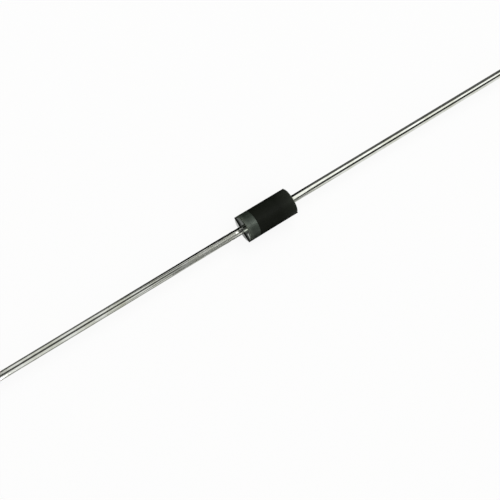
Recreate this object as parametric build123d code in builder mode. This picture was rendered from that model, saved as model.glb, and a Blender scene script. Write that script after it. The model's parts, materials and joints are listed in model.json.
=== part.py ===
# Axial switching diode in a moulded DO-41 size body.
# The X axis runs along the leads, with the cathode on -X. The mould parts in the XY plane.
# The origin is the centre of the body. All sizes are in millimetres.
from build123d import *
import os
from math import cos, hypot, radians, sin, tan

# Moulded body: two mould halves that meet in the XY plane
body_length = 5.18  # over the end faces, at the parting line
body_width = 2.4  # across the body, at the parting line
crown_offset = 0.12  # each half's crown is centred this far from the parting line
side_draft = 5.0  # lean of the side walls, in degrees
end_draft = 4.5  # lean of the end faces, in degrees
rim_radius = 0.045  # rounding between the sides and the end faces
flash_reach = 0.07  # thin flash left by the mould joint, out from the body
flash_thickness = 0.04

# Printed cathode band
band_inset = 0.01  # from the rounded rim to the near edge of the ink
band_width = 0.98
ink_thickness = 0.02

# Round leads with upset nail heads
lead_diameter = 0.72
lead_length = 28.0  # outside the body
tip_chamfer = 0.06
head_thickness = 0.4
head_rounding = 0.05
head_lip = 0.05  # the head reaches this far past the coating
neck_flare = 0.14  # the cone behind the head stands this far out from the shank
neck_length = 0.3
ridge_rise = 0.17  # upset ridge that locks the shank in the resin, out from the shank
ridge_length = 0.9
ridge_flank = 0.3  # length of each of its sloped sides
ridge_depth = 0.06  # the ridge ends this far inside the body's end face

# Chip stack between the two heads
die_side = 0.95  # square side of the chip's cathode face
die_thickness = 0.27
die_bevel = 8.0  # lean of the etched sides, in degrees
solder_thickness = 0.06
solder_flare = 30.0  # the solder spreads towards the head at this angle, in degrees
coating_cover = 0.03  # the coating reaches this far past the corners of the solder
coating_bulge = 0.12  # and swells out by this much more between the heads

# The resin sets this far from the pieces inside it
mould_gap = 0.005

# What follows from the sizes above
half_width = body_width / 2
crown_radius = (half_width - crown_offset * tan(radians(side_draft))) * cos(radians(side_draft))
half_height = crown_offset + crown_radius
end_x = body_length / 2
tip_x = end_x + lead_length
die_face_x = die_thickness / 2
head_face_x = die_face_x + solder_thickness
head_back_x = head_face_x + head_thickness
anode_die_side = die_side - 2 * die_thickness * tan(radians(die_bevel))
solder_corner = hypot(1, 1) * (die_side / 2 + solder_thickness * tan(radians(solder_flare)))
coating_radius = solder_corner + coating_cover
head_radius = coating_radius + head_lip
lead_radius = lead_diameter / 2
ridge_end_x = end_x - ridge_depth
ridge_x = ridge_end_x - ridge_length
band_x = -end_x + half_height * tan(radians(end_draft)) + rim_radius + band_inset


# Half of the body's cross-section above the parting line, grown outwards by the given amount
def half_section(grow):
    radius = crown_radius + grow
    wall_foot = half_width + grow / cos(radians(side_draft))
    wall_top = (radius * cos(radians(side_draft)), crown_offset + radius * sin(radians(side_draft)))
    with BuildSketch() as half:
        with BuildLine():
            Line((wall_foot, 0), wall_top)
            ThreePointArc(wall_top, (0, crown_offset + radius), (-wall_top[0], wall_top[1]))
            Line((-wall_top[0], wall_top[1]), (-wall_foot, 0))
            Line((-wall_foot, 0), (wall_foot, 0))
        make_face()
    return half.sketch


# Whole cross-section of the body with its flash, grown outwards by the given amount
def whole_section(grow):
    with BuildSketch() as whole:
        add(half_section(grow))
        mirror(about=Plane.XZ)
        Rectangle(body_width + 2 * (flash_reach + grow), flash_thickness + 2 * grow)
    return whole.sketch


# Half-section of a lead on the given side: head, cone and ridged shank with the given gap round them, then its end
def lead_profile(side, gap, end):
    with BuildSketch(Plane(origin=(0, 0, 0), x_dir=(side, 0, 0), z_dir=(0, 0, side))) as profile:
        with BuildLine():
            Polyline(
                (head_face_x, 0),
                (head_face_x, head_radius + gap),
                (head_back_x + gap, head_radius + gap),
                (head_back_x + gap, lead_radius + neck_flare + gap),
                (head_back_x + neck_length + gap, lead_radius + gap),
                (ridge_x - gap, lead_radius + gap),
                (ridge_x + ridge_flank - gap, lead_radius + ridge_rise + gap),
                (ridge_end_x - ridge_flank + gap, lead_radius + ridge_rise + gap),
                (ridge_end_x + gap, lead_radius + gap),
                *end,
                close=True,
            )
        make_face()
        back_corner = profile.vertices().group_by(Axis.Y)[-1].sort_by(Axis.X)[-1]
        fillet(back_corner, head_rounding + gap)
    return profile.sketch


# Half-section of the coated chip between the heads, with the given gap round it
def coating_profile(gap):
    rim = coating_radius + gap
    with BuildSketch() as profile:
        with BuildLine():
            swell = ThreePointArc((-head_face_x, rim), (0, rim + coating_bulge), (head_face_x, rim))
            Polyline(swell @ 1, (head_face_x, 0), (-head_face_x, 0), swell @ 0)
        make_face()
    return profile.sketch


# A plane that looks along +X or -X from the given distance, so that extrusions go outwards
def outward_plane(side, distance):
    return Plane(origin=(side * distance, 0, 0), x_dir=(0, 1, 0), z_dir=(side, 0, 0))


os.makedirs("parts", exist_ok=True)
ends = {"cathode": -1, "anode": 1}

# Tinned copper leads: a cut tip, a long shank, a coned neck and a nail head
leads = {}
for end_name, side in ends.items():
    cut_tip = [(tip_x - tip_chamfer, lead_radius), (tip_x, lead_radius - tip_chamfer), (tip_x, 0)]
    with BuildPart() as lead:
        revolve(lead_profile(side, 0, cut_tip), axis=Axis.X)
    lead.part.label = f"{end_name}_lead"
    leads[end_name] = lead.part

# Silicon chip, etched to a slope on its four sides
with BuildPart() as silicon_die:
    with BuildSketch(Plane.YZ.offset(-die_face_x)):
        Rectangle(die_side, die_side)
    extrude(amount=die_thickness, taper=die_bevel)
silicon_die.part.label = "silicon_die"

# Solder layers between the chip and the two heads
solders = {}
for end_name, side in ends.items():
    with BuildPart() as solder:
        with BuildSketch(outward_plane(side, die_face_x)):
            wetted_side = die_side if end_name == "cathode" else anode_die_side
            Rectangle(wetted_side, wetted_side)
        extrude(amount=solder_thickness, taper=-solder_flare)
    solder.part.label = f"{end_name}_solder"
    solders[end_name] = solder.part

# Silicone bead that seals the chip's edge between the heads
with BuildPart() as junction_coating:
    revolve(coating_profile(0), axis=Axis.X)
    add([silicon_die.part, *solders.values()], mode=Mode.SUBTRACT)
junction_coating.part.label = "junction_coating"

# Epoxy body: one drafted half is rounded, mirrored in the parting plane and trimmed with flash
with BuildPart() as moulded_body:
    with BuildSketch(Plane.YZ.offset(-end_x)):
        add(half_section(0))
    extrude(amount=body_length)
    with BuildSketch(Plane.XZ):
        with BuildLine():
            crown_x = end_x - half_height * tan(radians(end_draft))
            Polyline((-end_x, 0), (end_x, 0), (crown_x, half_height), (-crown_x, half_height), close=True)
        make_face()
    extrude(amount=body_width, both=True, mode=Mode.INTERSECT)
    end_faces = moulded_body.faces().sort_by(Axis.X)
    end_edges = end_faces[0].edges() + end_faces[-1].edges()
    fillet(end_edges - end_edges.group_by(Axis.Z)[0], rim_radius)
    mirror(about=Plane.XY)
    with BuildSketch(Plane.XY.offset(-flash_thickness / 2)):
        flash_length = body_length + 2 * flash_reach
        Rectangle(flash_length, body_width + 2 * flash_reach)
    extrude(amount=flash_thickness)
    # Room for the leads, and for the coated chip between their heads
    for side in ends.values():
        through = [(tip_x, lead_radius + mould_gap), (tip_x, 0)]
        revolve(lead_profile(side, mould_gap, through), axis=Axis.X, mode=Mode.SUBTRACT)
    revolve(coating_profile(mould_gap), axis=Axis.X, mode=Mode.SUBTRACT)
moulded_body.part.label = "moulded_body"

# Ink band printed round the cathode end, over the sides and the flash
with BuildPart() as cathode_band:
    with BuildSketch(Plane.YZ.offset(band_x)):
        add(whole_section(ink_thickness))
        add(whole_section(0), mode=Mode.SUBTRACT)
    extrude(amount=band_width)
cathode_band.part.label = "cathode_band"

pieces = [
    moulded_body.part,
    cathode_band.part,
    *leads.values(),
    silicon_die.part,
    *solders.values(),
    junction_coating.part,
]
for piece in pieces:
    export_step(piece, f"parts/{piece.label}.step")
    print(piece.label, round(piece.volume, 4), "mm3")
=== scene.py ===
import json
from math import acos, atan2, cos, pi, radians, sin, tan

import bmesh
import bpy
from mathutils import Matrix, Vector, noise


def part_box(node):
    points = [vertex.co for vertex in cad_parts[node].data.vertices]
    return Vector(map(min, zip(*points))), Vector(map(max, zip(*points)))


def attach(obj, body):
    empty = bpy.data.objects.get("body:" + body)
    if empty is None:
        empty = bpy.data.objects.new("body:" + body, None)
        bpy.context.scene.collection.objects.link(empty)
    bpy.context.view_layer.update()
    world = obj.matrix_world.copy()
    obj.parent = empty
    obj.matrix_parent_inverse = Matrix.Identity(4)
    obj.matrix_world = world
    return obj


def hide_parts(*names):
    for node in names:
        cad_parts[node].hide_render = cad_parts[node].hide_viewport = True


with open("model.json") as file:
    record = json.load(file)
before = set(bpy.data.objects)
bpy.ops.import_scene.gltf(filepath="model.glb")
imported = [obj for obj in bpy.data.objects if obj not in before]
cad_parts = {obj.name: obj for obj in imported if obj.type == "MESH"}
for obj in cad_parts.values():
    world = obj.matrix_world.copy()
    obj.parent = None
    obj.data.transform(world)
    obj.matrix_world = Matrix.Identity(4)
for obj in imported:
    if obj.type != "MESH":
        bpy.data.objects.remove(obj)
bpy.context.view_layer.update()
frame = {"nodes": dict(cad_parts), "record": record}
mm = 0.001  # sizes below are in millimetres, the scene is in metres
weldDistance = 0.0002  # mm, points that lie closer than this are one
endDraft = 4.5  # degrees, lean of the moulded end faces
diodeScene = bpy.context.scene
diodeScene.view_settings.view_transform = "Standard"


# Small helpers

def linear(hexColour):
    # sRGB hex to the linear values that shaders take
    channels = [int(hexColour[i:i + 2], 16) / 255 for i in (1, 3, 5)]
    return [c / 12.92 if c <= 0.04045 else ((c + 0.055) / 1.055) ** 2.4 for c in channels] + [1.0]


def addNode(tree, kind, settings=None, inputs=None):
    # settings are the node's own properties, inputs are values or sockets to link, by name or number
    node = tree.nodes.new(kind)
    for key, value in (settings or {}).items():
        setattr(node, key, value)
    for key, value in (inputs or {}).items():
        if isinstance(value, bpy.types.NodeSocket):
            tree.links.new(value, node.inputs[key])
        else:
            node.inputs[key].default_value = value
    return node


def startMaterial(name, sockets):
    # a material with a Principled shader whose constant sockets are set directly
    material = bpy.data.materials.new(name)
    material.use_nodes = True
    shader = material.node_tree.nodes["Principled BSDF"]
    for key, value in sockets.items():
        shader.inputs[key].default_value = value
    return material, material.node_tree, shader


def startTree(name, sockets):
    # an empty Geometry Nodes tree with the given inputs: (name, kind, value)
    tree = bpy.data.node_groups.new(name, "GeometryNodeTree")
    tree.interface.new_socket("Geometry", in_out="INPUT", socket_type="NodeSocketGeometry")
    tree.interface.new_socket("Geometry", in_out="OUTPUT", socket_type="NodeSocketGeometry")
    for label, kind, value in sockets:
        socket = tree.interface.new_socket(label, in_out="INPUT", socket_type="NodeSocket" + kind)
        if value is not None:
            socket.default_value = value
    return tree, tree.nodes.new("NodeGroupInput"), tree.nodes.new("NodeGroupOutput")


def meshFrom(name, points, faces):
    # points in millimetres, closed and turned outwards
    shape = bmesh.new()
    corners = [shape.verts.new(Vector(p) * mm) for p in points]
    for face in faces:
        shape.faces.new([corners[i] for i in face])
    bmesh.ops.remove_doubles(shape, verts=shape.verts, dist=weldDistance * mm)
    bmesh.ops.dissolve_degenerate(shape, edges=shape.edges, dist=weldDistance * mm)
    bmesh.ops.recalc_face_normals(shape, faces=shape.faces)
    mesh = bpy.data.meshes.new(name)
    shape.to_mesh(mesh)
    shape.free()
    return mesh


def seenDirectly(tree):
    # 1 for what the camera, a reflection or a refraction sees, 0 for what lights the object
    path = addNode(tree, "ShaderNodeLightPath")
    seen = path.outputs["Is Camera Ray"]
    for ray in ("Is Glossy Ray", "Is Transmission Ray"):
        either = addNode(tree, "ShaderNodeMath", {"operation": "MAXIMUM"}, {0: seen, 1: path.outputs[ray]})
        seen = either.outputs[0]
    return seen


def addObject(name, data):
    piece = bpy.data.objects.new(name, data)
    diodeScene.collection.objects.link(piece)
    return piece


def runTree(piece, tree, values):
    # runs a tree on a piece with the given inputs and keeps the result as a plain mesh
    modifier = piece.modifiers.new(tree.name, "NODES")
    modifier.node_group = tree
    identifiers = {item.name: item.identifier for item in tree.interface.items_tree if item.in_out == "INPUT"}
    for label, value in values.items():
        modifier[identifiers[label]] = value
    evaluated = piece.evaluated_get(bpy.context.evaluated_depsgraph_get())
    made = bpy.data.meshes.new_from_object(evaluated)
    made.name = piece.name
    piece.modifiers.remove(modifier)
    piece.data = made


def closeAndSmooth(piece, sharpAngle):
    # merges what lies together, turns the faces outwards and keeps edges sharper than the angle
    shape = bmesh.new()
    shape.from_mesh(piece.data)
    bmesh.ops.remove_doubles(shape, verts=shape.verts, dist=weldDistance * mm)
    bmesh.ops.dissolve_degenerate(shape, edges=shape.edges, dist=weldDistance * mm)
    bmesh.ops.recalc_face_normals(shape, faces=shape.faces)
    shape.to_mesh(piece.data)
    shape.free()
    piece.data.shade_smooth()
    piece.data.set_sharp_from_angle(angle=radians(sharpAngle))


# Camera at the photograph's viewing angle

cameraView = {
    "elevation": 74.0,  # of the line from the body to the camera, in degrees, tipped towards the banded end
    "leadAngle": 31.55,  # the leads rise by this much from left to right
    "distance": 87.6,  # mm from the camera to the point that it looks at
    "lens": 71.4,
    "sensor": 36.0,
    "aimRight": -1.436,  # mm from the body's centre to that point, along the picture
    "aimUp": -3.072,
    "clip": (1.0, 5000.0),  # mm, the nearest and the farthest that it sees
}


def makeCamera():
    tipped = radians(cameraView["elevation"])
    turned = radians(cameraView["leadAngle"])
    back = Vector((-cos(tipped), 0, sin(tipped)))
    alongLead = Vector((sin(tipped), 0, cos(tipped)))
    across = Vector((0, 1, 0))
    right = alongLead * cos(turned) - across * sin(turned)
    up = alongLead * sin(turned) + across * cos(turned)
    aim = (right * cameraView["aimRight"] + up * cameraView["aimUp"]) * mm
    camera = addObject("camera", bpy.data.cameras.new("camera"))
    camera.data.lens = cameraView["lens"]
    camera.data.sensor_width = cameraView["sensor"]
    camera.data.clip_start, camera.data.clip_end = [limit * mm for limit in cameraView["clip"]]
    camera.matrix_world = Matrix.Translation(aim + back * cameraView["distance"] * mm) @ Matrix(
        (right, up, back)).transposed().to_4x4()
    diodeScene.camera = camera


makeCamera()
print("camera placed")


# Floor, backdrop and soft light

stage = {
    "floorSize": 1200.0,  # mm
    "floorColour": "#f2f2f0",
    "shadowShare": 0.10,  # how much of the floor's own shading shows in the white
    "skyLight": 0.62,  # what the pale room gives to dull surfaces
    "lampSize": 260.0,  # mm
    "lampHeight": 320.0,  # mm
    "lampAside": (120.0, 140.0),  # mm towards the anode and across
    "lampEnergy": 0.55,  # W
    # cards that only reflections see, tuned by comparing renders until the lines in the metal matched:
    # light, then from and to along the leads and across, in mm
    "cardLift": 0.02,  # of those that lie or stand on the floor
    "overheadHeight": 86.0,
    "overhead": {  # the long lines in the wires, from the banded end to the plain one
        "cameraFlagLeft": (0.10, (-26, -6), (-38, 39)),
        "cameraFlagFar": (0.10, (-38, -26), (-38, 20)),
        "cornerFlag": (0.10, (-60, -38), (-38, -12)),
        "cornerGrey": (0.4, (-60, -38), (-12, 20)),
        "cameraFlagNear": (0.12, (-6, 10), (-36, 31)),
        "backFlag": (0.02, (-120, -26), (20, 300)),  # mirrored twice, by the end face and the wire
        "middleGrey": (0.39, (10, 15), (-300, 4)),
        "middlePale": (0.76, (10, 15), (4, 60)),
        "middleGreyNear": (0.34, (15, 20), (-300, -22)),
        "middleGlow": (1.25, (15, 20), (-22, 22)),
        "middlePaleNear": (0.45, (15, 20), (22, 60)),
        "middleFlag": (0.1, (10, 20), (60, 240)),
        "bodyFlag": (0.25, (20, 29.5), (-300, 240)),
        "softCard": (1.45, (29.5, 130), (-10, 118)),
        "softCardNear": (1.45, (29.5, 38), (-46, -10)),
        "highFlagNear": (0.22, (29.5, 34), (-320, -46)),
        "highFlagFar": (0.04, (38, 130), (-150, -10)),
        "lowGrey": (0.4, (38, 48), (-600, -150)),
    },
    "overBodyHeight": 8.0,
    "overBody": {
        "bandCard": (7.6, (-0.2, 4.2), (-1.5, 1.5)),  # so low that the leads don't mirror it
    },
    "atExitHeight": 1.36,
    "atExit": {  # the short marks where the cathode wire leaves the body
        "exitFlag": (0.0, (-2.68, -2.42), (-0.85, -0.38)),
        "exitFlagLow": (0.0, (-2.6, -2.42), (-1.5, -0.85)),
        "exitGrey": (0.15, (-2.74, -2.45), (-0.38, 0.5)),
        "exitShade": (0.02, (-2.6, -2.45), (0.5, 2.2)),
        "exitGlint": (2.2, (-3.06, -2.82), (-0.36, 0.6)),
    },
    "onFloor": {  # the wires' lower flanks and the end face
        "floorFlagLeft": (0.15, (-60, -14), (1.6, 30)),
        "floorFlagMiddle": (0.07, (-14, -8.5), (1.6, 30)),
        "floorFlag": (0.0, (-8.5, 7), (1.6, 30)),
        "floorFlagRight": (0.12, (7, 90), (1.6, 30)),
        "edgeFlagLeft": (0.2, (-60, -14), (0.4, 1.6)),
        "edgeFlagNearLeft": (0.05, (-14, -3.8), (0.4, 1.6)),
        "edgeFlagNearRight": (0.0, (2.75, 7), (0.4, 1.6)),
        "edgeFlagRight": (0.15, (7, 90), (0.4, 1.6)),
        "floorGreyLeft": (0.34, (-60, -9), (-14, -1.6)),
        "floorGreyMiddle": (0.52, (-9, -4), (-14, -1.6)),
        "floorGreyNear": (0.2, (-4, -2.7), (-14, -1.6)),
        "floorShade": (0.02, (-2.7, 2.7), (-14, -1.35)),
        "floorPale": (0.6, (2.7, 9), (-14, -1.6)),
        "leadShade": (0.3, (-7, -3.41), (-0.52, -0.25)),
        "footShade": (0.2, (-3.4, -3.02), (-1.35, 1.35)),
        "cornerShade": (0.7, (-3, -2.45), (-0.78, -0.25)),
        "cornerGlow": (1.4, (-3, -2.45), (0.2, 1.4)),
        "cornerPale": (2.5, (-3.57, -3.41), (-1.0, -0.55)),
        "cornerDim": (0.5, (-4.2, -3.58), (-1.3, -0.55)),
    },
    # walls that stand along the leads: light, place across, from and to along the leads, height at each
    "walls": {
        "sideFlagLeft": (0.15, 30, (-60, -11), (2, 9)),
        "sideFlagMiddle": (0.07, 30, (-11, -5), (9, 9.9)),
        "sideFlagNearLeft": (0.0, 30, (-5, 3), (9.9, 11)),
        "sideFlagBody": (0.0, 30, (3, 9), (24, 24)),
        "sideFlagNearRight": (0.0, 30, (9, 15.5), (20.5, 23.3)),
        "sideFlagRight": (0.12, 30, (15.5, 60), (23.3, 42)),
        "lowFlagLeft": (0.1, -30, (-4, 4.4), (13, 13)),
        "lowFlagRight": (0.1, -30, (8, 16), (13, 13)),
        "backPale": (6.0, -60, (-42, -26), (50, 50)),  # mirrored twice too, a white line in the end face
    },
}


def makeFloor():
    half = stage["floorSize"] / 2
    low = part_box("cathode_band")[0].z / mm
    mesh = meshFrom("floor", [(-half, -half, low), (half, -half, low), (half, half, low), (-half, half, low)],
                    [(0, 1, 2, 3)])
    floor = addObject("floor", mesh)
    material, tree, shader = startMaterial("paleCard", {"Roughness": 0.9, "Specular IOR Level": 0.1})
    shader.inputs["Base Color"].default_value = linear(stage["floorColour"])
    # seen straight or in gloss it is white, with a little of its own shading for the shadow
    share = addNode(tree, "ShaderNodeMath", {"operation": "MULTIPLY"},
                    {0: seenDirectly(tree), 1: 1 - stage["shadowShare"]})
    glow = addNode(tree, "ShaderNodeEmission", None, {"Color": (1, 1, 1, 1), "Strength": 1.0})
    mix = addNode(tree, "ShaderNodeMixShader", None,
                  {0: share.outputs[0], 1: shader.outputs[0], 2: glow.outputs[0]})
    tree.links.new(mix.outputs[0], tree.nodes["Material Output"].inputs["Surface"])
    mesh.materials.append(material)


def makeRoom():
    world = bpy.data.worlds.new("paleRoom")
    world.use_nodes = True
    tree = world.node_tree
    strength = addNode(tree, "ShaderNodeMapRange", None,
                       {"Value": seenDirectly(tree), "To Min": stage["skyLight"], "To Max": 1.0})
    tree.links.new(strength.outputs["Result"], tree.nodes["Background"].inputs["Strength"])
    tree.nodes["Background"].inputs["Color"].default_value = (1, 1, 1, 1)
    diodeScene.world = world


def makeLamp():
    lamp = bpy.data.lights.new("softbox", "AREA")
    lamp.shape = "DISK"
    lamp.size = stage["lampSize"] * mm
    lamp.energy = stage["lampEnergy"]
    holder = addObject("softbox", lamp)
    place = Vector((*stage["lampAside"], stage["lampHeight"])) * mm
    holder.matrix_world = Matrix.Translation(place) @ place.to_track_quat("Z", "Y").to_matrix().to_4x4()
    holder.visible_glossy = False  # the room's white is what shines in the metal


def makeCard(name, light, corners):
    # a dark flag or a pale card that only reflections see
    material, tree, shader = startMaterial(name, {"Roughness": 1.0, "Specular IOR Level": 0.0})
    shader.inputs["Base Color"].default_value = (0, 0, 0, 1)
    shader.inputs["Emission Color"].default_value = (1, 1, 1, 1)
    shader.inputs["Emission Strength"].default_value = light
    mesh = meshFrom(name, corners, [(0, 1, 2, 3)])
    mesh.materials.append(material)
    card = addObject(name, mesh)
    card.visible_camera = card.visible_diffuse = card.visible_shadow = card.visible_transmission = False


def makeCards():
    # they draw the lines in the bright wire and keep the body's sides dark
    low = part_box("cathode_band")[0].z / mm + stage["cardLift"]
    heights = {"overhead": stage["overheadHeight"], "overBody": stage["overBodyHeight"],
               "atExit": stage["atExitHeight"], "onFloor": low}
    for group, height in heights.items():
        for name, (light, (x0, x1), (y0, y1)) in stage[group].items():
            makeCard(name, light, [(x0, y0, height), (x1, y0, height), (x1, y1, height), (x0, y1, height)])
    for name, (light, y, (x0, x1), (top0, top1)) in stage["walls"].items():
        makeCard(name, light, [(x0, y, low), (x1, y, low), (x1, y, low + top1), (x0, y, low + top0)])


makeFloor()
makeRoom()
makeLamp()
makeCards()
print("stage and light made")


# Materials, each named for the real one

def finishSurface(tree, shader, colour, roughness, relief, depth):
    # links what varies over the surface, with the relief's depth in mm
    bump = addNode(tree, "ShaderNodeBump", None, {"Height": relief, "Distance": depth * mm, "Strength": 1.0})
    tree.links.new(colour, shader.inputs["Base Color"])
    tree.links.new(roughness, shader.inputs["Roughness"])
    tree.links.new(bump.outputs["Normal"], shader.inputs["Normal"])


epoxyFinishes = {
    # the side walls are spark-eroded in the mould and the end walls are smoother
    "sparkedEpoxy": {
        "colourDeep": "#0f110d",
        "colourPale": "#1a1d17",
        "colourAnodeEnd": "#2b2e28",
        "mottle": 0.7,  # mm, cloudy tone of the filler
        "grain": 0.16,  # mm, mould texture, drawn twice as coarse as real so that it shows
        "grainDepth": 0.004,  # mm
        "roughness": (0.5, 0.65),
        "specular": 0.03,  # the coarse skin breaks up nearly all of its shine
        "sheen": "#ffffff",
    },
    "smoothEpoxy": {
        "colourDeep": "#0e100d",
        "colourPale": "#1b1e19",
        "colourAnodeEnd": "#1f221d",
        "mottle": 0.5,
        "grain": 0.3,
        "grainDepth": 0.0006,
        "roughness": (0.05, 0.1),
        "specular": 0.37,
        "sheen": "#dcffd8",
        # painted highlight along the rounded rim of the ends, laid on as a paler colour
        "rimHighlightInset": (0.11, 0.075),  # mm in from the flash's outer edge, from the wall to the end face
        "rimHighlightColour": "#868d80",
    },
}
paleZone = (0.9, 2.4)  # mm along the axis, over which the resin grows paler towards the anode end


def makeEpoxy(name):
    # moulded epoxy, silica filled: near black, matt on the sparked walls,
    # and a satin on the ends that greys at a slant
    finish = epoxyFinishes[name]
    material, tree, shader = startMaterial(name, {
        "IOR": 1.55, "Specular IOR Level": finish["specular"], "Specular Tint": linear(finish["sheen"])})
    place = addNode(tree, "ShaderNodeTexCoord")
    cloud = addNode(tree, "ShaderNodeTexNoise", None, {
        "Vector": place.outputs["Object"], "Scale": 1 / (finish["mottle"] * mm),
        "Detail": 4.0, "Roughness": 0.6})
    grain = addNode(tree, "ShaderNodeTexNoise", None, {
        "Vector": place.outputs["Object"], "Scale": 1 / (finish["grain"] * mm),
        "Detail": 3.0, "Roughness": 0.6})
    tone = addNode(tree, "ShaderNodeMix", {"data_type": "RGBA"}, {
        "Factor": cloud.outputs["Fac"],
        6: linear(finish["colourDeep"]), 7: linear(finish["colourPale"])})
    # paler towards the anode end, in patches
    where = addNode(tree, "ShaderNodeSeparateXYZ", None, {0: place.outputs["Object"]})
    paling = addNode(tree, "ShaderNodeMapRange", {"interpolation_type": "SMOOTHSTEP"}, {
        "Value": where.outputs["X"], "From Min": paleZone[0] * mm, "From Max": paleZone[1] * mm})
    patchy = addNode(tree, "ShaderNodeMath", {"operation": "MULTIPLY"}, {
        0: paling.outputs["Result"], 1: cloud.outputs["Fac"]})
    tone = addNode(tree, "ShaderNodeMix", {"data_type": "RGBA"}, {
        "Factor": patchy.outputs[0], 6: tone.outputs[2], 7: linear(finish["colourAnodeEnd"])})
    if "rimHighlightInset" in finish:
        # painted highlight: the rim between wall and end is painted paler, where its rounding catches the
        # light; it leans with the end
        along, upwards = [addNode(tree, "ShaderNodeMath", {"operation": "ABSOLUTE"}, {0: where.outputs[axis]})
                          for axis in "XZ"]
        outwards = addNode(tree, "ShaderNodeMath", {"operation": "MULTIPLY_ADD"}, {
            0: upwards.outputs[0], 1: tan(radians(endDraft)), 2: along.outputs[0]})
        wallSide, endSide = [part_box("moulded_body")[1].x - inset * mm for inset in finish["rimHighlightInset"]]
        onRim = addNode(tree, "ShaderNodeMapRange", {"interpolation_type": "SMOOTHSTEP"}, {
            "Value": outwards.outputs[0], "From Min": wallSide, "From Max": endSide,
            "To Min": 1.0, "To Max": 0.0})
        tone = addNode(tree, "ShaderNodeMix", {"data_type": "RGBA"}, {
            "Factor": onRim.outputs["Result"], 6: tone.outputs[2], 7: linear(finish["rimHighlightColour"])})
    gloss = addNode(tree, "ShaderNodeMapRange", None, {
        "Value": grain.outputs["Fac"],
        "To Min": finish["roughness"][0], "To Max": finish["roughness"][1]})
    finishSurface(tree, shader, tone.outputs[2], gloss.outputs["Result"],
                  grain.outputs["Fac"], finish["grainDepth"])
    return material


inkFinish = {
    "colourThin": "#1e231d",
    "colourFull": "#2d352c",
    "colourRimHighlight": "#4c5249",
    "paling": 0.35,  # mm in from the rim, over which the ink is painted paler as a highlight on the rounded rim
    "streak": 0.35,  # mm, uneven ink from the printing wheel
    "streakRange": (0.3, 0.7),  # of the pattern, from thin ink to full
    "grain": 0.1,  # mm, pigment and the mould grain under it
    "grainDepth": 0.0015,  # mm
    "edge": 0.05,  # mm, over which the ink thins out at its edges
    "edgeCover": 0.7,  # and what is left of it there
    "roughness": (0.38, 0.5),
    "sheen": "#f3fff3",  # a faint green in its shine
}


def makeInk():
    # printed ink: a thin matt grey with a green cast, uneven, so that some black shows through
    material, tree, shader = startMaterial("printedInk", {
        "IOR": 1.5, "Specular IOR Level": 0.5, "Specular Tint": linear(inkFinish["sheen"])})
    place = addNode(tree, "ShaderNodeTexCoord")
    streaks = addNode(tree, "ShaderNodeTexNoise", None, {
        "Vector": place.outputs["Object"], "Scale": 1 / (inkFinish["streak"] * mm),
        "Detail": 4.0, "Roughness": 0.6})
    grain = addNode(tree, "ShaderNodeTexNoise", None, {
        "Vector": place.outputs["Object"], "Scale": 1 / (inkFinish["grain"] * mm),
        "Detail": 2.0, "Roughness": 0.6})
    edge = addNode(tree, "ShaderNodeAttribute", {"attribute_name": "inkEdge"})
    cover = addNode(tree, "ShaderNodeMapRange", {"interpolation_type": "SMOOTHSTEP"}, {
        "Value": edge.outputs["Fac"], "From Max": inkFinish["edge"], "To Min": inkFinish["edgeCover"],
        "To Max": 1.0})
    tone = addNode(tree, "ShaderNodeMapRange", None, {
        "Value": streaks.outputs["Fac"],
        "From Min": inkFinish["streakRange"][0], "From Max": inkFinish["streakRange"][1]})
    laid = addNode(tree, "ShaderNodeMath", {"operation": "MULTIPLY"}, {
        0: cover.outputs["Result"], 1: tone.outputs["Result"]})
    colour = addNode(tree, "ShaderNodeMix", {"data_type": "RGBA"}, {
        "Factor": laid.outputs[0], 6: linear(inkFinish["colourThin"]), 7: linear(inkFinish["colourFull"])})
    where = addNode(tree, "ShaderNodeSeparateXYZ", None, {0: place.outputs["Object"]})
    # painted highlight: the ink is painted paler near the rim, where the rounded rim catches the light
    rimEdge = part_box("cathode_band")[0].x
    atRim = addNode(tree, "ShaderNodeMapRange", {"interpolation_type": "SMOOTHSTEP"}, {
        "Value": where.outputs["X"], "From Min": rimEdge, "From Max": rimEdge + inkFinish["paling"] * mm,
        "To Min": 1.0, "To Max": 0.0})
    paling = addNode(tree, "ShaderNodeMath", {"operation": "MULTIPLY"}, {
        0: atRim.outputs["Result"], 1: streaks.outputs["Fac"]})
    colour = addNode(tree, "ShaderNodeMix", {"data_type": "RGBA"}, {
        "Factor": paling.outputs[0], 6: colour.outputs[2], 7: linear(inkFinish["colourRimHighlight"])})
    gloss = addNode(tree, "ShaderNodeMapRange", None, {
        "Value": grain.outputs["Fac"],
        "To Min": inkFinish["roughness"][0], "To Max": inkFinish["roughness"][1]})
    finishSurface(tree, shader, colour.outputs[2], gloss.outputs["Result"],
                  grain.outputs["Fac"], inkFinish["grainDepth"])
    return material


tinFinish = {
    "colourBright": "#dddfd9",
    "colourDull": "#b9bbac",
    "patch": 1.6,  # mm along the wire, where the plate dulls
    "patchRange": (0.35, 0.7),  # of the pattern, from bright plate to dull
    "lines": 0.03,  # mm, width of the drawing lines
    "lineStretch": 25.0,  # and they are this many times longer along the wire
    "lineDepth": 0.0001,  # mm
    "roughness": (0.06, 0.12),
    "dullFrom": (-9.5, -7.0),  # mm, where the plate turns duller on the way to the banded end
    "dullTo": (-3.6, -2.9),  # mm, and where it is bright again
    "dullRoughness": 0.08,  # added there
}


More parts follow.
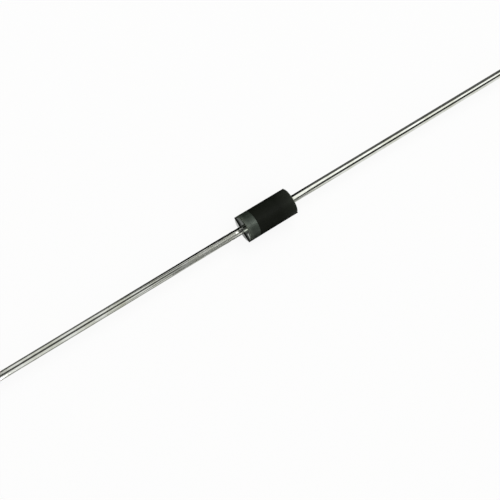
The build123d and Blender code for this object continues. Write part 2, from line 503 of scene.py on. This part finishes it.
def makeTin():
    # tinned copper: bright plate over drawn wire, with long faint drawing lines and duller patches
    material, tree, shader = startMaterial("tinnedCopper", {"Metallic": 1.0})
    place = addNode(tree, "ShaderNodeTexCoord")
    along = addNode(tree, "ShaderNodeMapping", None, {
        "Vector": place.outputs["Object"], "Scale": (1 / tinFinish["lineStretch"], 1.0, 1.0)})
    lines = addNode(tree, "ShaderNodeTexNoise", None, {
        "Vector": along.outputs[0], "Scale": 1 / (tinFinish["lines"] * mm), "Detail": 3.0})
    patches = addNode(tree, "ShaderNodeTexNoise", None, {
        "Vector": place.outputs["Object"], "Scale": 1 / (tinFinish["patch"] * mm),
        "Detail": 4.0, "Roughness": 0.65})
    dull = addNode(tree, "ShaderNodeMapRange", None, {
        "Value": patches.outputs["Fac"],
        "From Min": tinFinish["patchRange"][0], "From Max": tinFinish["patchRange"][1]})
    colour = addNode(tree, "ShaderNodeMix", {"data_type": "RGBA"}, {
        "Factor": dull.outputs["Result"],
        6: linear(tinFinish["colourBright"]), 7: linear(tinFinish["colourDull"])})
    gloss = addNode(tree, "ShaderNodeMapRange", None, {
        "Value": dull.outputs["Result"],
        "To Min": tinFinish["roughness"][0], "To Max": tinFinish["roughness"][1]})
    # one stretch of the cathode wire is duller than the rest
    where = addNode(tree, "ShaderNodeSeparateXYZ", None, {0: place.outputs["Object"]})
    dullIn = addNode(tree, "ShaderNodeMapRange", {"interpolation_type": "SMOOTHSTEP"}, {
        "Value": where.outputs["X"],
        "From Min": tinFinish["dullFrom"][0] * mm, "From Max": tinFinish["dullFrom"][1] * mm})
    dullOut = addNode(tree, "ShaderNodeMapRange", {"interpolation_type": "SMOOTHSTEP"}, {
        "Value": where.outputs["X"],
        "From Min": tinFinish["dullTo"][0] * mm, "From Max": tinFinish["dullTo"][1] * mm,
        "To Min": 1.0, "To Max": 0.0})
    dullHere = addNode(tree, "ShaderNodeMath", {"operation": "MULTIPLY"}, {
        0: dullIn.outputs["Result"], 1: dullOut.outputs["Result"]})
    roughness = addNode(tree, "ShaderNodeMath", {"operation": "MULTIPLY_ADD"}, {
        0: dullHere.outputs[0], 1: tinFinish["dullRoughness"], 2: gloss.outputs["Result"]})
    finishSurface(tree, shader, colour.outputs[2], roughness.outputs[0],
                  lines.outputs["Fac"], tinFinish["lineDepth"])
    return material


innerRelief = 0.002  # mm, fine relief on all of the inner pieces
innerFinishes = {
    # name: dark colour, light colour, metallic, roughness from and to, pattern in mm
    "etchedSilicon": ("#4a4d55", "#5f636c", 0.0, (0.25, 0.4), 0.08),
    "dullSolder": ("#8f9092", "#a9aaac", 1.0, (0.35, 0.5), 0.05),
    "curedSilicone": ("#cfcdc4", "#e2e0d8", 0.0, (0.35, 0.5), 0.2),
}


def makeInner(name):
    # etched silicon is a dark satin grey, dull solder a soft grey metal, cured silicone a milky skin
    dark, light, metallic, (glossFrom, glossTo), size = innerFinishes[name]
    material, tree, shader = startMaterial(name, {"Metallic": metallic})
    place = addNode(tree, "ShaderNodeTexCoord")
    pattern = addNode(tree, "ShaderNodeTexNoise", None, {
        "Vector": place.outputs["Object"], "Scale": 1 / (size * mm), "Detail": 4.0})
    colour = addNode(tree, "ShaderNodeMix", {"data_type": "RGBA"}, {
        "Factor": pattern.outputs["Fac"], 6: linear(dark), 7: linear(light)})
    gloss = addNode(tree, "ShaderNodeMapRange", None, {
        "Value": pattern.outputs["Fac"], "To Min": glossFrom, "To Max": glossTo})
    finishSurface(tree, shader, colour.outputs[2], gloss.outputs["Result"],
                  pattern.outputs["Fac"], innerRelief)
    return material


epoxies = [makeEpoxy(name) for name in epoxyFinishes]
ink = makeInk()
tin = makeTin()
print("materials made")


# Leads: drawn wire with an upset head, a neck, a ridge and a cut tip

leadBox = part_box("anode_lead")
leadPin = frame["record"]["mounts"][0]["dims"]
leadShape = {
    "headFace": leadBox[0].x / mm,
    "tip": leadBox[1].x / mm,
    "headRadius": leadBox[1].y / mm,
    "radius": leadPin["r_mm"],
    "outside": leadPin["length_mm"],  # how much of it stands out of the body
    "headThickness": 0.4,
    "headRounding": 0.05,
    "roundingSteps": 6,
    "neckFlare": 0.14,
    "neckLength": 0.3,
    "ridgeRise": 0.17,
    "ridgeLength": 0.9,
    "ridgeFlank": 0.3,
    "ridgeDepth": 0.06,  # from the body's end face to the ridge
    "tipChamfer": 0.06,
    "rings": 111,  # along the shank, one for about each 0.25 mm
    "ringSides": 64,
    "uneven": 0.004,  # how far the drawn wire is out of round
    "unevenLength": 1.3,  # and over what length
    "unevenAround": 2.5,  # how many times faster that changes round the wire
    "sharpAngle": 32.0,  # degrees
}
endX = leadShape["tip"] - leadShape["outside"]  # the body's end face, where the wire leaves it


def arcPoints(centre, radius, fromAngle, toAngle, steps):
    turns = [radians(fromAngle + (toAngle - fromAngle) * k / steps) for k in range(steps + 1)]
    return [(centre[0] + radius * cos(a), centre[1] + radius * sin(a)) for a in turns]


def shankOutline(gap):
    # from the exit inwards to the front edge of the head: (x, radius), with a gap round it
    s = leadShape
    wire = s["radius"] + gap
    ridgeEnd = endX - s["ridgeDepth"]
    ridgeStart = ridgeEnd - s["ridgeLength"]
    headBack = s["headFace"] + s["headThickness"]
    rounding = s["headRounding"] + gap
    return [
        (ridgeEnd + gap, wire),
        (ridgeEnd - s["ridgeFlank"] + gap, wire + s["ridgeRise"]),
        (ridgeStart + s["ridgeFlank"] - gap, wire + s["ridgeRise"]),
        (ridgeStart - gap, wire),
        (headBack + s["neckLength"] + gap, wire),
        (headBack + gap, wire + s["neckFlare"]),
        *arcPoints((headBack + gap - rounding, s["headRadius"] + gap - rounding), rounding, 0, 90,
                   s["roundingSteps"]),
        (s["headFace"], s["headRadius"] + gap),
    ]


def makeSpinTree():
    # turns a profile line round the X axis and adds the slight unevenness of drawn wire
    tree, given, result = startTree("spinProfile", [
        ("Sides", "Int", 64), ("Uneven", "Float", 0.0), ("Uneven Length", "Float", 0.001),
        ("Uneven Around", "Float", 1.0), ("Seed", "Float", 0.0), ("Material", "Material", None)])
    count = addNode(tree, "GeometryNodeAttributeDomainSize", {"component": "MESH"}, {
        0: given.outputs["Geometry"]})
    around = addNode(tree, "ShaderNodeMath", {"operation": "ADD"}, {0: given.outputs["Sides"], 1: 1.0})
    grid = addNode(tree, "GeometryNodeMeshGrid", None, {
        "Vertices X": count.outputs["Point Count"], "Vertices Y": around.outputs[0]})
    index = addNode(tree, "GeometryNodeInputIndex")
    ratio = addNode(tree, "ShaderNodeMath", {"operation": "DIVIDE"}, {
        0: index.outputs[0], 1: around.outputs[0]})
    row = addNode(tree, "ShaderNodeMath", {"operation": "FLOOR"}, {0: ratio.outputs[0]})
    column = addNode(tree, "ShaderNodeMath", {"operation": "MODULO"}, {
        0: index.outputs[0], 1: around.outputs[0]})
    turn = addNode(tree, "ShaderNodeMath", {"operation": "DIVIDE"}, {
        0: column.outputs[0], 1: given.outputs["Sides"]})
    angle = addNode(tree, "ShaderNodeMath", {"operation": "MULTIPLY"}, {0: turn.outputs[0], 1: 2 * pi})
    place = addNode(tree, "GeometryNodeInputPosition")
    profile = addNode(tree, "GeometryNodeSampleIndex", {"data_type": "FLOAT_VECTOR"}, {
        "Geometry": given.outputs["Geometry"], "Value": place.outputs[0], "Index": row.outputs[0]})
    parts = addNode(tree, "ShaderNodeSeparateXYZ", None, {0: profile.outputs["Value"]})
    cosine = addNode(tree, "ShaderNodeMath", {"operation": "COSINE"}, {0: angle.outputs[0]})
    sine = addNode(tree, "ShaderNodeMath", {"operation": "SINE"}, {0: angle.outputs[0]})
    outY = addNode(tree, "ShaderNodeMath", {"operation": "MULTIPLY"}, {
        0: parts.outputs["Y"], 1: cosine.outputs[0]})
    outZ = addNode(tree, "ShaderNodeMath", {"operation": "MULTIPLY"}, {
        0: parts.outputs["Y"], 1: sine.outputs[0]})
    spun = addNode(tree, "ShaderNodeCombineXYZ", None, {
        "X": parts.outputs["X"], "Y": outY.outputs[0], "Z": outZ.outputs[0]})
    turned = addNode(tree, "GeometryNodeSetPosition", None, {
        "Geometry": grid.outputs["Mesh"], "Position": spun.outputs[0]})
    closed = addNode(tree, "GeometryNodeMergeByDistance", None, {
        "Geometry": turned.outputs[0], "Distance": weldDistance * mm})
    # unevenness: the surface moves in or out along the radius, slowly along the wire and round it
    scale = addNode(tree, "ShaderNodeMath", {"operation": "DIVIDE"}, {
        0: 1.0, 1: given.outputs["Uneven Length"]})
    here = addNode(tree, "GeometryNodeInputPosition")
    faster = addNode(tree, "ShaderNodeCombineXYZ", None, {
        "X": 1.0, "Y": given.outputs["Uneven Around"], "Z": given.outputs["Uneven Around"]})
    stretched = addNode(tree, "ShaderNodeVectorMath", {"operation": "MULTIPLY"}, {
        0: here.outputs[0], 1: faster.outputs[0]})
    wave = addNode(tree, "ShaderNodeTexNoise", {"noise_dimensions": "4D"}, {
        "Vector": stretched.outputs[0], "W": given.outputs["Seed"], "Scale": scale.outputs[0], "Detail": 2.0})
    centred = addNode(tree, "ShaderNodeMath", {"operation": "SUBTRACT"}, {0: wave.outputs["Fac"], 1: 0.5})
    amount = addNode(tree, "ShaderNodeMath", {"operation": "MULTIPLY"}, {
        0: centred.outputs[0], 1: given.outputs["Uneven"]})
    radial = addNode(tree, "ShaderNodeVectorMath", {"operation": "MULTIPLY"}, {
        0: here.outputs[0], 1: (0, 1, 1)})
    outward = addNode(tree, "ShaderNodeVectorMath", {"operation": "NORMALIZE"}, {0: radial.outputs[0]})
    shift = addNode(tree, "ShaderNodeVectorMath", {"operation": "SCALE"}, {
        0: outward.outputs[0], "Scale": amount.outputs[0]})
    drawn = addNode(tree, "GeometryNodeSetPosition", None, {
        "Geometry": closed.outputs[0], "Offset": shift.outputs[0]})
    real = addNode(tree, "GeometryNodeRealizeInstances", None, {0: drawn.outputs[0]})
    coated = addNode(tree, "GeometryNodeSetMaterial", None, {
        "Geometry": real.outputs[0], "Material": given.outputs["Material"]})
    tree.links.new(coated.outputs[0], result.inputs[0])
    return tree


def makeLead(name, node, side, seed):
    s = leadShape
    inner = list(reversed(shankOutline(0)))
    straight = s["outside"] - s["tipChamfer"]
    shank = [(endX + straight * k / s["rings"], s["radius"]) for k in range(s["rings"] + 1)]
    tip = [(s["tip"], s["radius"] - s["tipChamfer"]), (s["tip"], 0)]
    profile = [(s["headFace"], 0), *inner, *shank, *tip]
    line = bpy.data.meshes.new(name)
    line.from_pydata([(side * x * mm, r * mm, 0) for x, r in profile],
                     [(k, k + 1) for k in range(len(profile) - 1)], [])
    lead = addObject(name, line)
    runTree(lead, spinTree, {
        "Sides": s["ringSides"], "Uneven": s["uneven"] * mm, "Uneven Length": s["unevenLength"] * mm,
        "Uneven Around": s["unevenAround"], "Seed": seed, "Material": tin})
    closeAndSmooth(lead, s["sharpAngle"])
    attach(lead, "root")
    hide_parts(node)


spinTree = makeSpinTree()
makeLead("cathodeWire", "cathode_lead", -1, 3.0)
makeLead("anodeWire", "anode_lead", 1, 8.0)
print("leads drawn")


# Moulded body: two drafted halves with leaning ends, rounded rims and flash at the joint

bodyShape = {
    "crownOffset": 0.12,
    "sideDraft": 5.0,  # degrees
    "rimRadius": 0.045,
    "flashReach": 0.07,
    "flashThickness": 0.04,
    "flashBreaks": 0.2,  # share of the flash that is broken away at most
    "flashBreakLength": 0.35,
    "setBack": 0.005,  # the resin stands this far off the metal
    "beadRise": 0.12,  # swell of the silicone bead between the heads
    "beadSteps": 6,
    "crownSteps": 60,  # faces round the crown of each half
    "wallSteps": 3,
    "rimSteps": 6,
    "faceSteps": 4,
    "plainSteps": 4,  # rings along half of the bare wall
    "bandSteps": 9,  # and along the ink
    "sharpAngle": 24.0,  # degrees
    "endFacing": 0.12,  # a face that looks along the leads by this much belongs to the smoother end
}
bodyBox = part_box("moulded_body")
halfWidth = bodyBox[1].y / mm - bodyShape["flashReach"]
halfHeight = bodyBox[1].z / mm
holeRadius = leadShape["radius"] + bodyShape["setBack"]  # of the hole that the wire leaves by


def sectionColumns():
    # points round the section, each with its outward normal, whether it is on the flash,
    # and its angle on the hole that the wire leaves by
    b = bodyShape
    draft = radians(b["sideDraft"])
    crownRadius = (halfWidth - b["crownOffset"] * tan(draft)) * cos(draft)
    lip = b["flashThickness"] / 2
    wallTop = (crownRadius * cos(draft), b["crownOffset"] + crownRadius * sin(draft))
    wallFoot = (halfWidth - lip * tan(draft), lip)
    quarter = [(*wallFoot, cos(draft), sin(draft), True), (*wallFoot, cos(draft), sin(draft), False)]
    for k in range(1, b["wallSteps"]):
        share = k / b["wallSteps"]
        quarter.append((wallFoot[0] + (wallTop[0] - wallFoot[0]) * share,
                        wallFoot[1] + (wallTop[1] - wallFoot[1]) * share, cos(draft), sin(draft), False))
    crown = []
    for k in range(b["crownSteps"] + 1):
        angle = draft + (pi - 2 * draft) * k / b["crownSteps"]
        crown.append((crownRadius * cos(angle), b["crownOffset"] + crownRadius * sin(angle),
                      cos(angle), sin(angle), False))
    upper = quarter + crown + [(-y, z, -ny, nz, flash) for y, z, ny, nz, flash in reversed(quarter)]
    firstAngle = atan2(wallFoot[1], wallFoot[0])
    holeFirst = acos((holeRadius ** 2 - lip ** 2) ** 0.5 / holeRadius)
    columns = []
    for y, z, ny, nz, flash in upper:
        share = (atan2(z, y) - firstAngle) / (pi - 2 * firstAngle)
        holeAngle = holeFirst + (pi - 2 * holeFirst) * share
        columns.append(((y, z), (ny, nz), flash, holeAngle))
    columns += [((y, -z), (ny, -nz), flash, -hole) for (y, z), (ny, nz), flash, hole in reversed(columns)]
    return columns


def flashReachAt(x, y):
    # the flash is broken unevenly along the joint
    b = bodyShape
    wave = noise.noise(Vector((x, y, 0)) / b["flashBreakLength"])
    return b["flashReach"] * (1 - b["flashBreaks"] * (0.5 + 0.5 * wave))


def bodyRows(columns):
    # rings from the middle of the outside, over the anode end, to the middle of the room inside
    b = bodyShape
    endNormal = radians(endDraft)
    lean = tan(endNormal)
    lip = b["flashThickness"] / 2
    rim = b["rimRadius"]
    onJoint = [abs(point[1]) <= lip + weldDistance for point, normal, flash, hole in columns]

    def wallRow(x):
        row = []
        for (y, z), (ny, nz), flash, hole in columns:
            side = 1 if y > 0 else -1
            row.append((x, y + (side * flashReachAt(x, y) if flash else 0), z))
        return row

    def rimRow(share):
        row = []
        for ((y, z), (ny, nz), flash, hole), joint in zip(columns, onJoint):
            upward = 1 if z > 0 else -1
            centre = Vector((0, y - rim * ny, z - rim * nz))
            centre.x = endX - abs(centre.z) * lean - rim / cos(endNormal)
            outward = Vector((0, ny, nz)).slerp(Vector((cos(endNormal), 0, upward * sin(endNormal))), share)
            point = centre + outward * rim
            if joint:
                point.z = z
            if flash:
                # the flash has square corners
                square = (rim + flashReachAt(point.x, point.y)) / max(abs(outward.x), abs(outward.y))
                point = Vector((centre.x, centre.y, z)) + Vector((outward.x, outward.y, 0)) * square
            row.append(tuple(point))
        return row

    def faceRow(share):
        rimEdge = rimRow(1.0)
        row = []
        for ((y, z), normal, flash, hole), joint, (rimX, rimY, rimZ) in zip(columns, onJoint, rimEdge):
            py = rimY + (holeRadius * cos(hole) - rimY) * share
            pz = z if joint else rimZ + (holeRadius * sin(hole) - rimZ) * share
            px = endX - abs(pz) * lean
            if flash:
                px = endX + flashReachAt(endX, py)
            row.append((px, py, pz))
        return row

    def roomRow(x, radius):
        return [(x, radius * cos(hole), radius * sin(hole)) for point, normal, flash, hole in columns]

    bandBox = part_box("cathode_band")
    bandFar, bandNear = -bandBox[0].x / mm, -bandBox[1].x / mm
    wallPlaces = [bandNear * k / b["plainSteps"] for k in range(b["plainSteps"])]
    wallPlaces += [bandNear + (bandFar - bandNear) * k / b["bandSteps"] for k in range(b["bandSteps"] + 1)]
    rows = [wallRow(x) for x in wallPlaces]
    rows += [rimRow(k / b["rimSteps"]) for k in range(b["rimSteps"] + 1)]
    rows += [faceRow(k / b["faceSteps"]) for k in range(1, b["faceSteps"] + 1)]
    rows += [roomRow(x, radius) for x, radius in shankOutline(b["setBack"])]
    # the room swells round the silicone bead, on an arc
    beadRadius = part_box("junction_coating")[1].y / mm + b["setBack"]
    halfGap = leadShape["headFace"]
    curve = (halfGap ** 2 + b["beadRise"] ** 2) / (2 * b["beadRise"])
    rows += [roomRow(x, beadRadius - curve + (curve ** 2 - x ** 2) ** 0.5)
             for x in (halfGap * (1 - k / b["beadSteps"]) for k in range(b["beadSteps"] + 1))]
    return rows


def makeBody():
    columns = sectionColumns()
    anodeRows = bodyRows(columns)
    cathodeRows = [[(-x, y, z) for x, y, z in row] for row in reversed(anodeRows[1:-1])]
    rows = anodeRows + cathodeRows
    wide, long = len(columns), len(rows)
    points = [point for row in rows for point in row]
    faces = []
    for r in range(long):
        for c in range(wide):
            row, nextRow, nextColumn = r * wide, (r + 1) % long * wide, (c + 1) % wide
            faces.append((row + c, nextRow + c, nextRow + nextColumn, row + nextColumn))
    body = addObject("mouldedBody", meshFrom("mouldedBody", points, faces))
    for material in epoxies:
        body.data.materials.append(material)
    closeAndSmooth(body, bodyShape["sharpAngle"])
    endFaceFrom = endX - halfHeight * tan(radians(endDraft)) - bodyShape["rimRadius"]
    for face in body.data.polygons:
        facesOut = face.normal.x * face.center.x > 0 and abs(face.normal.x) > bodyShape["endFacing"]
        face.material_index = 1 if facesOut and abs(face.center.x) > endFaceFrom * mm else 0
    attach(body, "root")
    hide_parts("moulded_body")
    return body


body = makeBody()
print("body moulded")


# Cathode band: ink that follows the moulded surface

bandShape = {
    "thickness": 0.02,  # mm
    "wobble": 0.012,  # mm, how uneven the printed edges are
    "wobbleLength": 0.25,  # mm
    "seed": 5.0,
    "relief": 0.3,  # share of the thickness by which the ink varies
    "wallFrom": 0.9,  # share of the body's half width; what is nearer the axis is room and not wall
    "edgeZone": 0.001,  # mm, points this near to the ink's edge sway with it
    "sharpAngle": 35.0,  # degrees
}


def makeInkTree():
    # keeps the outer wall between two places along the axis and lays a closed film of ink on it
    tree, given, result = startTree("layInk", [
        ("From", "Float", 0.0), ("To", "Float", 0.0), ("Wall Radius", "Float", 0.0),
        ("Thickness", "Float", 0.0), ("Relief", "Float", 0.0), ("Edge Zone", "Float", 0.0),
        ("Wobble", "Float", 0.0), ("Wobble Length", "Float", 0.001), ("Seed", "Float", 0.0),
        ("Material", "Material", None)])
    place = addNode(tree, "GeometryNodeInputPosition")
    parts = addNode(tree, "ShaderNodeSeparateXYZ", None, {0: place.outputs[0]})
    flat = addNode(tree, "ShaderNodeVectorMath", {"operation": "MULTIPLY"}, {
        0: place.outputs[0], 1: (0, 1, 1)})
    radius = addNode(tree, "ShaderNodeVectorMath", {"operation": "LENGTH"}, {0: flat.outputs[0]})
    outside = addNode(tree, "ShaderNodeMath", {"operation": "GREATER_THAN"}, {
        0: radius.outputs["Value"], 1: given.outputs["Wall Radius"]})
    past = addNode(tree, "ShaderNodeMath", {"operation": "GREATER_THAN"}, {
        0: parts.outputs["X"], 1: given.outputs["From"]})
    short = addNode(tree, "ShaderNodeMath", {"operation": "LESS_THAN"}, {
        0: parts.outputs["X"], 1: given.outputs["To"]})
    between = addNode(tree, "ShaderNodeMath", {"operation": "MULTIPLY"}, {
        0: past.outputs[0], 1: short.outputs[0]})
    chosen = addNode(tree, "ShaderNodeMath", {"operation": "MULTIPLY"}, {
        0: between.outputs[0], 1: outside.outputs[0]})
    wall = addNode(tree, "GeometryNodeSeparateGeometry", {"domain": "FACE"}, {
        "Geometry": given.outputs["Geometry"], "Selection": chosen.outputs[0]})
    # how far each point is from the nearer edge of the ink
    fromEdge = addNode(tree, "ShaderNodeMath", {"operation": "SUBTRACT"}, {
        0: parts.outputs["X"], 1: given.outputs["From"]})
    toEdge = addNode(tree, "ShaderNodeMath", {"operation": "SUBTRACT"}, {
        0: given.outputs["To"], 1: parts.outputs["X"]})
    nearer = addNode(tree, "ShaderNodeMath", {"operation": "MINIMUM"}, {
        0: fromEdge.outputs[0], 1: toEdge.outputs[0]})
    inMillimetres = addNode(tree, "ShaderNodeMath", {"operation": "DIVIDE"}, {0: nearer.outputs[0], 1: mm})
    marked = addNode(tree, "GeometryNodeStoreNamedAttribute", {"data_type": "FLOAT", "domain": "POINT"}, {
        "Geometry": wall.outputs["Selection"], "Name": "inkEdge", "Value": inMillimetres.outputs[0]})
    # the printed edges wander along the axis
    scale = addNode(tree, "ShaderNodeMath", {"operation": "DIVIDE"}, {
        0: 1.0, 1: given.outputs["Wobble Length"]})
    wave = addNode(tree, "ShaderNodeTexNoise", {"noise_dimensions": "4D"}, {
        "Vector": place.outputs[0], "W": given.outputs["Seed"], "Scale": scale.outputs[0], "Detail": 2.0})
    centred = addNode(tree, "ShaderNodeMath", {"operation": "SUBTRACT"}, {0: wave.outputs["Fac"], 1: 0.5})
    atEdge = addNode(tree, "ShaderNodeMath", {"operation": "LESS_THAN"}, {
        0: nearer.outputs[0], 1: given.outputs["Edge Zone"]})
    sway = addNode(tree, "ShaderNodeMath", {"operation": "MULTIPLY"}, {
        0: centred.outputs[0], 1: given.outputs["Wobble"]})
    swayAtEdge = addNode(tree, "ShaderNodeMath", {"operation": "MULTIPLY"}, {
        0: sway.outputs[0], 1: atEdge.outputs[0]})
    along = addNode(tree, "ShaderNodeCombineXYZ", None, {"X": swayAtEdge.outputs[0]})
    swayed = addNode(tree, "GeometryNodeSetPosition", None, {
        "Geometry": marked.outputs[0], "Offset": along.outputs[0]})
    # the film: a top raised along the normal, and the wall's own faces turned over as its underside
    thin = addNode(tree, "ShaderNodeMath", {"operation": "MULTIPLY"}, {
        0: wave.outputs["Fac"], 1: given.outputs["Relief"]})
    share = addNode(tree, "ShaderNodeMath", {"operation": "SUBTRACT"}, {0: 1.0, 1: thin.outputs[0]})
    height = addNode(tree, "ShaderNodeMath", {"operation": "MULTIPLY"}, {
        0: share.outputs[0], 1: given.outputs["Thickness"]})
    normal = addNode(tree, "GeometryNodeInputNormal")
    top = addNode(tree, "GeometryNodeExtrudeMesh", {"mode": "FACES"}, {
        "Mesh": swayed.outputs[0], "Offset": normal.outputs[0], "Offset Scale": height.outputs[0],
        "Individual": False})
    underside = addNode(tree, "GeometryNodeFlipFaces", None, {"Mesh": swayed.outputs[0]})
    joined = addNode(tree, "GeometryNodeJoinGeometry")
    tree.links.new(top.outputs["Mesh"], joined.inputs[0])
    tree.links.new(underside.outputs[0], joined.inputs[0])
    closed = addNode(tree, "GeometryNodeMergeByDistance", None, {
        "Geometry": joined.outputs[0], "Distance": weldDistance * mm})
    real = addNode(tree, "GeometryNodeRealizeInstances", None, {0: closed.outputs[0]})
    coated = addNode(tree, "GeometryNodeSetMaterial", None, {
        "Geometry": real.outputs[0], "Material": given.outputs["Material"]})
    tree.links.new(coated.outputs[0], result.inputs[0])
    return tree


def makeBand():
    band = addObject("cathodeBand", body.data.copy())
    low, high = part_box("cathode_band")
    runTree(band, makeInkTree(), {
        "From": low.x, "To": high.x, "Wall Radius": bandShape["wallFrom"] * halfWidth * mm,
        "Thickness": bandShape["thickness"] * mm, "Relief": bandShape["relief"],
        "Edge Zone": bandShape["edgeZone"] * mm, "Wobble": bandShape["wobble"] * mm,
        "Wobble Length": bandShape["wobbleLength"] * mm, "Seed": bandShape["seed"], "Material": ink})
    closeAndSmooth(band, bandShape["sharpAngle"])
    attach(band, "root")
    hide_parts("cathode_band")


makeBand()
print("band printed")


# Inside: the chip, its solder and its silicone bead keep their CAD shapes

innerNodes = {
    "silicon_die": "etchedSilicon",
    "cathode_solder": "dullSolder",
    "anode_solder": "dullSolder",
    "junction_coating": "curedSilicone",
}
for nodeName, finishName in innerNodes.items():
    material = bpy.data.materials.get(finishName) or makeInner(finishName)
    node = frame["nodes"][nodeName]
    node.data.materials.clear()
    node.data.materials.append(material)
print("inner pieces finished")
